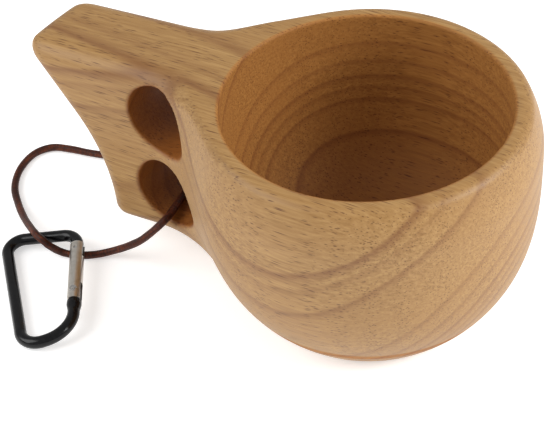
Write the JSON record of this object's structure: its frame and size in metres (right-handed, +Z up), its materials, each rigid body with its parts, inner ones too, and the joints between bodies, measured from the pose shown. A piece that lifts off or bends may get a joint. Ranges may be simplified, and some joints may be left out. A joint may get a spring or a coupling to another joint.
{
  "type": "wooden dipper cup",
  "caption": "Carved wooden cup with a short two-hole finger handle, a knotted leather lace through the lower hole and a small sprung snap link on the lace.",
  "frame": {"origin": "middle of the bowl's flat foot, on the surface the cup stands on", "axes": "+Z up, the handle points along -X, +Y is the far side as the finger holes are seen from the front"},
  "size_m": [0.173, 0.1155, 0.068],
  "materials": {
    "wood": "oiled, half matt",
    "leather": "waxed round lace",
    "black_anodised": "black anodised, glossy",
    "silver_anodised": "plain anodised, satin",
    "steel": "bright"
  },
  "bodies": {
    "cup": {"cup": "wood", "lace": "leather", "lace_knot": "leather"},
    "link": {"link_body": "black_anodised"},
    "gate": {"gate_tube": "silver_anodised", "gate_rivet": "steel", "latch_pin": "steel", "gate_spring": "steel", "spring_plunger": "steel"}
  },
  "joints": [
    {"name": "link_swing", "type": "hinge", "parent": "cup", "child": "link", "pos_m": [-0.0914, -0.03, 0.0045], "axis": [-0.8991, -0.136, 0.4161], "range_deg": [0, 30]},
    {"name": "gate_open", "type": "hinge", "parent": "link", "child": "gate", "pos_m": [-0.07374, -0.04498, 0.00492], "axis": [-0.1311, -0.1139, 0.9848], "range_deg": [0, 25], "stiffness_Nm_per_rad": 0.02, "springref_deg": -17.19}
  ]
}
